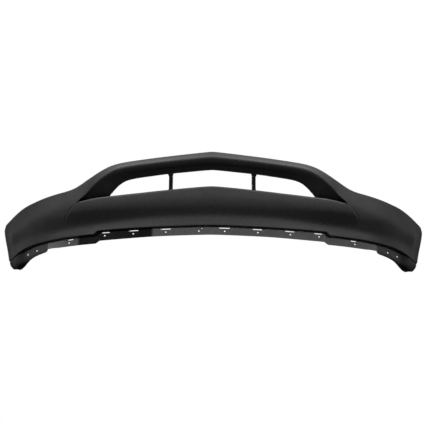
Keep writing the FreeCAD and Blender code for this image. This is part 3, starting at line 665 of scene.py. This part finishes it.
def hole_cutters():
    holes = []
    for hole_x in INNER_HOLES["xs"]:
        reach = reach_at_x(hole_x, top_out(hole_x) - INNER_HOLES["inset"])
        holes.append((reach, INNER_HOLES))
    holes += [(reach, OUTER_HOLES) for reach in OUTER_HOLES["reaches"]]
    cutters = []
    for reach, hole in holes:
        x, y, z = place(reach, top_out(reach) - hole["inset"], top_z(reach))
        for side in (-1, 1):
            bpy.ops.mesh.primitive_cylinder_add(
                vertices=48, radius=hole["radius"] / 1000.0, depth=0.02,
                location=(side * x / 1000.0, (y - ORIGIN_Y) / 1000.0, (z - ORIGIN_Z) / 1000.0))
            cutters.append(bpy.context.object)
    return cutters


def cut_away(ob, cutters):
    """Joins the cutters and takes them out of the object."""
    for other in bpy.context.scene.objects:
        other.select_set(other in cutters)
    bpy.context.view_layer.objects.active = cutters[0]
    bpy.ops.object.join()
    cutter = bpy.context.view_layer.objects.active
    cut = ob.modifiers.new("cut", "BOOLEAN")
    cut.operation = "DIFFERENCE"
    cut.object = cutter
    cut.solver = "EXACT"
    depsgraph = bpy.context.evaluated_depsgraph_get()
    mesh = bpy.data.meshes.new_from_object(ob.evaluated_get(depsgraph))
    ob.modifiers.remove(cut)
    old = ob.data
    ob.data = mesh
    bpy.data.meshes.remove(old)
    bpy.data.objects.remove(cutter)


skin = build_object("cover_skin_visual", *cover_mesh())
skin.data.set_sharp_from_angle(angle=math.radians(50))
cut_away(skin, hole_cutters())
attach(skin, "cover")
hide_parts("cover_skin")


# ---------------------------------------------------------------- materials
class Graph:
    """Node tree of a material or world, emptied; an input takes a socket or a plain value."""

    def __init__(self, owner):
        owner.use_nodes = True
        self.tree = owner.node_tree
        self.tree.nodes.clear()

    def node(self, kind, inputs=None, **settings):
        made = self.tree.nodes.new(kind)
        for key, value in settings.items():
            setattr(made, key, value)
        for key, value in (inputs or {}).items():
            if isinstance(value, bpy.types.NodeSocket):
                self.tree.links.new(value, made.inputs[key])
            else:
                made.inputs[key].default_value = value
        return made

    def noise(self, vector, scale, detail=2.0):
        return self.node("ShaderNodeTexNoise", {
            "Vector": vector, "Scale": scale, "Detail": detail}).outputs["Fac"]

    def remap(self, value, source, target, kind="LINEAR"):
        return self.node("ShaderNodeMapRange", {
            "Value": value, "From Min": source[0], "From Max": source[1],
            "To Min": target[0], "To Max": target[1]}, interpolation_type=kind).outputs[0]

    def smooth(self, value, source, target):
        return self.remap(value, source, target, "SMOOTHSTEP")

    def math(self, operation, first, second):
        return self.node("ShaderNodeMath", {0: first, 1: second}, operation=operation).outputs[0]

    def scaled(self, vector, factor):
        return self.node("ShaderNodeVectorMath", {0: vector, "Scale": factor},
                         operation="SCALE").outputs[0]

    def mixed(self, factor, first, second):
        return self.node("ShaderNodeMix", {0: factor, 6: first, 7: second},
                         data_type="RGBA").outputs[2]

    def axis(self, vector, name):
        return self.node("ShaderNodeSeparateXYZ", {0: vector}).outputs[name]


def shader_graph(name, **inputs):
    """New material with one Principled shader."""
    material = bpy.data.materials.new(name)
    graph = Graph(material)
    shader = graph.node("ShaderNodeBsdfPrincipled")
    for key, value in inputs.items():
        shader.inputs[key.replace("_", " ")].default_value = value
    graph.node("ShaderNodeOutputMaterial", {0: shader.outputs[0]})
    position = graph.node("ShaderNodeTexCoord").outputs["Object"]
    return material, graph, shader, position


def edge_highlight(graph, colour, base, normal):
    """Painted highlight: edges are lightened as if they caught a little more light."""
    bevel = graph.node("ShaderNodeBevel", {"Radius": 0.0025}, samples=4)
    flatness = graph.node("ShaderNodeVectorMath", {0: bevel.outputs[0], 1: normal},
                          operation="DOT_PRODUCT").outputs["Value"]
    edge_light = tuple(min(1.0, c * 1.9 + 0.01) for c in base) + (1.0,)
    return graph.mixed(graph.remap(flatness, (0.995, 0.90), (0.0, 0.35)), colour, edge_light)


def lighten_upward_faces(graph, colour, normal, broad, amount):
    """Faces that look up are lightened towards a pale grey in broad patches."""
    upward = graph.remap(graph.axis(normal, "Z"), (0.2, 1.0), (0.0, amount))
    return graph.mixed(graph.math("MULTIPLY", upward, broad), colour, (0.22, 0.215, 0.2, 1.0))


def painted_shade_length(graph, colour, base, position, start, end, blend, shade):
    """Painted shade: a darker length between two places across the cover."""
    x = graph.axis(position, "X")
    after = graph.smooth(x, (start - blend, start + blend), (0.0, 1.0))
    before = graph.smooth(x, (end - blend, end + blend), (1.0, 0.0))
    dark = tuple(c * shade for c in base) + (1.0,)
    return graph.mixed(graph.math("MULTIPLY", after, before), colour, dark)


def dark_hollows(graph, colour, normal, amount):
    """Deep hollows, and faces that look straight down, lose light."""
    occlusion = graph.node("ShaderNodeAmbientOcclusion", {"Distance": 0.11}, samples=6)
    hollow = graph.smooth(occlusion.outputs["AO"], (0.30, 0.74), (1.0 - amount, 1.0))
    downward = graph.smooth(graph.axis(normal, "Z"), (-0.985, -0.90), (0.12, 1.0))
    return graph.scaled(colour, graph.math("MULTIPLY", hollow, downward))


def edge_shade(graph, position, heights, low_shade, distances, far_shade):
    """Factor that darkens towards the bottom and towards both ends of the cover."""
    place_xyz = graph.node("ShaderNodeSeparateXYZ", {0: position}).outputs
    low = graph.smooth(place_xyz["Z"], heights, (low_shade, 1.0))
    distance = graph.node("ShaderNodeMath", {0: place_xyz["X"]}, operation="ABSOLUTE").outputs[0]
    far = graph.smooth(distance, distances, (1.0, far_shade))
    return graph.math("MULTIPLY", low, far)


def plastic(name, base, drift, rough, rough_swing, grain_mm, grain_depth_mm, mottle_mm=6.0,
            mottle=0.15, specular=0.5, upward_lightening=0.0, painted_shade_stretch=None, cavity=0.0, shade=None):
    """Moulded plastic; drift and mottle are broad and small swings of brightness."""
    material, graph, shader, position = shader_graph(name, Specular_IOR_Level=specular)

    # moulded grain
    grain = graph.node("ShaderNodeTexVoronoi", {"Vector": position, "Scale": 1000.0 / grain_mm})
    fine = graph.noise(position, 1000.0 / (grain_mm * 1.7), detail=4.0)
    bump = graph.node("ShaderNodeBump", {
        "Strength": 1.0, "Distance": grain_depth_mm / 1000.0,
        "Height": graph.math("ADD", grain.outputs["Distance"], fine)})

    # mottling a few millimetres across, and a broad drift over the moulding
    small = graph.noise(position, 1000.0 / mottle_mm, detail=3.0)
    broad = graph.noise(position, 5.0, detail=3.0)
    brightness = graph.math("MULTIPLY",
                            graph.remap(small, (0.3, 0.7), (1 - mottle, 1 + mottle)),
                            graph.remap(broad, (0.35, 0.65), (1 - drift, 1 + drift)))
    normal = graph.node("ShaderNodeNewGeometry").outputs["Normal"]
    colour = edge_highlight(graph, graph.scaled(base, brightness), base, normal)
    if upward_lightening:
        colour = lighten_upward_faces(graph, colour, normal, broad, upward_lightening)
    if painted_shade_stretch:
        colour = painted_shade_length(graph, colour, base, position, **painted_shade_stretch)
    if cavity:
        colour = dark_hollows(graph, colour, normal, cavity)
    links = graph.tree.links
    if shade:
        factor = edge_shade(graph, position, **shade)
        colour = graph.scaled(colour, factor)
        links.new(graph.math("MULTIPLY", factor, specular), shader.inputs["Specular IOR Level"])
    roughness = graph.remap(small, (0.3, 0.7), (rough - rough_swing, rough + rough_swing))
    links.new(bump.outputs[0], shader.inputs["Normal"])
    links.new(colour, shader.inputs["Base Color"])
    links.new(roughness, shader.inputs["Roughness"])
    return material


def metal(name, base, rough):
    """Blotchy metal with fine scratches."""
    material, graph, shader, position = shader_graph(name, Metallic=1.0)
    blotches = graph.noise(position, 1000.0 / 3.0, detail=5.0)
    scratches = graph.noise(position, 1000.0 / 0.6)
    colour = graph.mixed(blotches, tuple(c * 0.7 for c in base) + (1.0,),
                         tuple(min(1.0, c * 1.25) for c in base) + (1.0,))
    roughness = graph.remap(blotches, (0.0, 1.0), (rough - 0.1, rough + 0.15))
    bump = graph.node("ShaderNodeBump", {"Distance": 0.00005, "Height": scratches})
    links = graph.tree.links
    links.new(colour, shader.inputs["Base Color"])
    links.new(roughness, shader.inputs["Roughness"])
    links.new(bump.outputs[0], shader.inputs["Normal"])
    return material


PLASTICS = {
    "textured_skin": dict(
        base=(0.0372, 0.0372, 0.0374), drift=0.10, rough=0.56, rough_swing=0.06, grain_mm=1.1,
        grain_depth_mm=0.16, mottle_mm=7.0, mottle=0.22, specular=0.3, upward_lightening=0.03, cavity=0.85),
    "brace_plastic": dict(
        base=(0.024, 0.024, 0.026), drift=0.10, rough=0.5, rough_swing=0.06, grain_mm=1.4,
        grain_depth_mm=0.05, mottle=0.12, specular=0.45),
    "strip_plastic": dict(
        # the strips' grey is partly their own lighter tone and partly painted light, raised to stand
        # in for a sheen the lip's overhang keeps off them
        base=(0.39, 0.391, 0.394), drift=0.10, rough=0.42, rough_swing=0.07, grain_mm=2.4,
        grain_depth_mm=0.03, mottle_mm=9.0, mottle=0.12,
        # painted shade on a stretch of the strips left of the middle
        painted_shade_stretch=dict(start=-0.532, end=-0.230, blend=0.008, shade=0.02)),
    "arch_plastic": dict(
        base=(0.205, 0.2055, 0.207), drift=0.10, rough=0.60, rough_swing=0.06, grain_mm=1.1,
        grain_depth_mm=0.10, mottle_mm=7.0, mottle=0.2, specular=0.25,
        shade=dict(heights=(-0.047, -0.018), low_shade=0.05,
                   distances=(0.765, 0.815), far_shade=0.29)),
    "retainer_plastic": dict(
        base=(0.02, 0.02, 0.021), drift=0.15, rough=0.42, rough_swing=0.08, grain_mm=1.0,
        grain_depth_mm=0.03),
    "pin_plastic": dict(
        base=(0.045, 0.045, 0.047), drift=0.15, rough=0.38, rough_swing=0.08, grain_mm=1.0,
        grain_depth_mm=0.03),
}
METALS = {
    "screw_steel": dict(base=(0.10, 0.10, 0.105), rough=0.38),
    "zinc_clip": dict(base=(0.48, 0.48, 0.50), rough=0.33),
}
materials = {name: plastic(name, **look) for name, look in PLASTICS.items()}
materials.update({name: metal(name, **look) for name, look in METALS.items()})

skin.data.materials.clear()
skin.data.materials.append(materials["textured_skin"])


# ---------------------------------------------------------------- CAD pieces: materials and soft edges
def soften(name, ob):
    bevel = ob.modifiers.new("edge", "BEVEL")
    bevel.width = 0.0005 if "flange_" in name or "strut" in name else 0.0002
    bevel.segments = 2
    bevel.limit_method = "ANGLE"
    bevel.angle_limit = math.radians(35)
    bevel.harden_normals = False
    for polygon in ob.data.polygons:
        polygon.use_smooth = True
    ob.data.set_sharp_from_angle(angle=math.radians(35))


slot_of = {part["node"]: part["material_slot"] for part in frame["record"]["subparts"]}
for name, ob in frame["nodes"].items():
    look = "arch_plastic" if name.startswith("arch_flange") else slot_of[name]
    ob.data.materials.clear()
    ob.data.materials.append(materials[look])
    if name != "cover_skin":
        soften(name, ob)


# ---------------------------------------------------------------- floor, world and lights
def add_floor():
    bpy.ops.mesh.primitive_plane_add(size=60, location=(0, 0, -1.25))
    floor = bpy.context.object
    floor.name = "floor"
    paint = bpy.data.materials.new("floor_paint")
    paint.use_nodes = True
    inputs = paint.node_tree.nodes["Principled BSDF"].inputs
    inputs["Base Color"].default_value = (0.24, 0.24, 0.24, 1)
    inputs["Roughness"].default_value = 0.9
    inputs["Specular IOR Level"].default_value = 0.0
    inputs["Emission Color"].default_value = (1, 1, 1, 1)
    inputs["Emission Strength"].default_value = 0.70
    floor.data.materials.append(paint)
    # seen by the camera, but neither lights nor mirrors in the cover
    floor.visible_diffuse = False
    floor.visible_glossy = False


def add_world(glow, backdrop):
    """White world: a faint glow for lighting, a bright backdrop for the camera."""
    world = bpy.data.worlds.new("studio")
    bpy.context.scene.world = world
    graph = Graph(world)
    glow_node, backdrop_node = [
        graph.node("ShaderNodeBackground", {0: (1, 1, 1, 1), 1: strength})
        for strength in (glow, backdrop)]
    camera_ray = graph.node("ShaderNodeLightPath").outputs["Is Camera Ray"]
    blend = graph.node("ShaderNodeMixShader", {
        0: camera_ray, 1: glow_node.outputs[0], 2: backdrop_node.outputs[0]})
    graph.node("ShaderNodeOutputWorld", {0: blend.outputs[0]})


# name, location, target, width, height, watts
LIGHTS = [
    ("key_softbox", (0, -0.95, 3.8), (0, 0.2, 0.15), 3.0, 1.2, 66),
    ("left_top_softbox", (-1.7, 0.0, 3.4), (-0.4, 0.2, 0.15), 1.2, 1.2, 84),
    ("right_top_softbox", (1.7, 0.0, 3.4), (0.4, 0.2, 0.15), 1.2, 1.2, 86),
    ("front_fill", (0, -3.6, 0.45), (0, 0, 0.0), 3.0, 0.4, 3),
    ("low_fill", (0, -3.2, -0.95), (0, 0, 0.1), 3.0, 0.3, 12),
    ("left_front_fill", (-3.0, -2.2, 0.4), (-0.6, 0.3, 0.0), 1.0, 0.6, 3),
    ("right_front_fill", (3.0, -2.2, 0.4), (0.6, 0.3, 0.0), 1.0, 0.6, 2),
    ("left_side_fill", (-3.4, 0.6, 0.3), (-0.7, 0.35, 0.1), 1.0, 1.0, 6),
    ("right_side_fill", (3.4, 0.6, 0.3), (0.7, 0.35, 0.1), 1.0, 1.0, 3.5),
    ("left_softbox", (-2.6, 2.7, 0.4), (-0.9, 0.55, 0.1), 1.2, 1.2, 2.2),
    ("right_softbox", (2.6, 2.7, 0.4), (0.9, 0.55, 0.1), 1.2, 1.2, 2.2),
    ("back_fill", (0, 3.4, 0.7), (0, 0.3, 0.1), 3.4, 1.2, 110),
]


def add_light(name, location, target, width, height, watts):
    data = bpy.data.lights.new(name, "AREA")
    data.shape = "RECTANGLE"
    data.size, data.size_y = width, height
    data.energy = watts
    light = bpy.data.objects.new(name, data)
    bpy.context.scene.collection.objects.link(light)
    light.location = location
    direction = Vector(target) - Vector(location)
    light.rotation_euler = direction.to_track_quat("-Z", "Y").to_euler()


add_floor()
add_world(glow=0.05, backdrop=1.0)
for light in LIGHTS:
    add_light(*light)

# ---------------------------------------------------------------- camera
TILT = math.radians(14.0)          # the camera stands low in front and looks up
ROLL = math.radians(0.32)
DISTANCE = 4.0
VIEW_WIDTH = 1.632                 # width of the view at that distance
VIEW_SHIFT = -0.04224              # sideways shift of the view at that distance
AIM = Vector((0.045, -ORIGIN_Y / 1000.0, (61.0 - ORIGIN_Z) / 1000.0))


def add_camera():
    forward = Vector((0, math.cos(TILT), math.sin(TILT)))
    level_up = Vector((0, -math.sin(TILT), math.cos(TILT)))
    level_right = Vector((1, 0, 0))
    right = level_right * math.cos(ROLL) + level_up * math.sin(ROLL)
    up = -level_right * math.sin(ROLL) + level_up * math.cos(ROLL)
    data = bpy.data.cameras.new("camera")
    camera = bpy.data.objects.new("camera", data)
    bpy.context.scene.collection.objects.link(camera)
    turn = Matrix((right, up, -forward)).transposed().to_4x4()
    camera.matrix_world = Matrix.Translation(AIM - forward * DISTANCE) @ turn
    data.sensor_width = 36.0
    data.lens = data.sensor_width * DISTANCE / VIEW_WIDTH
    data.shift_x = VIEW_SHIFT / VIEW_WIDTH
    data.clip_end = 200
    bpy.context.scene.camera = camera


add_camera()
bpy.context.scene.view_settings.view_transform = "Standard"
bpy.context.scene.view_settings.look = "None"
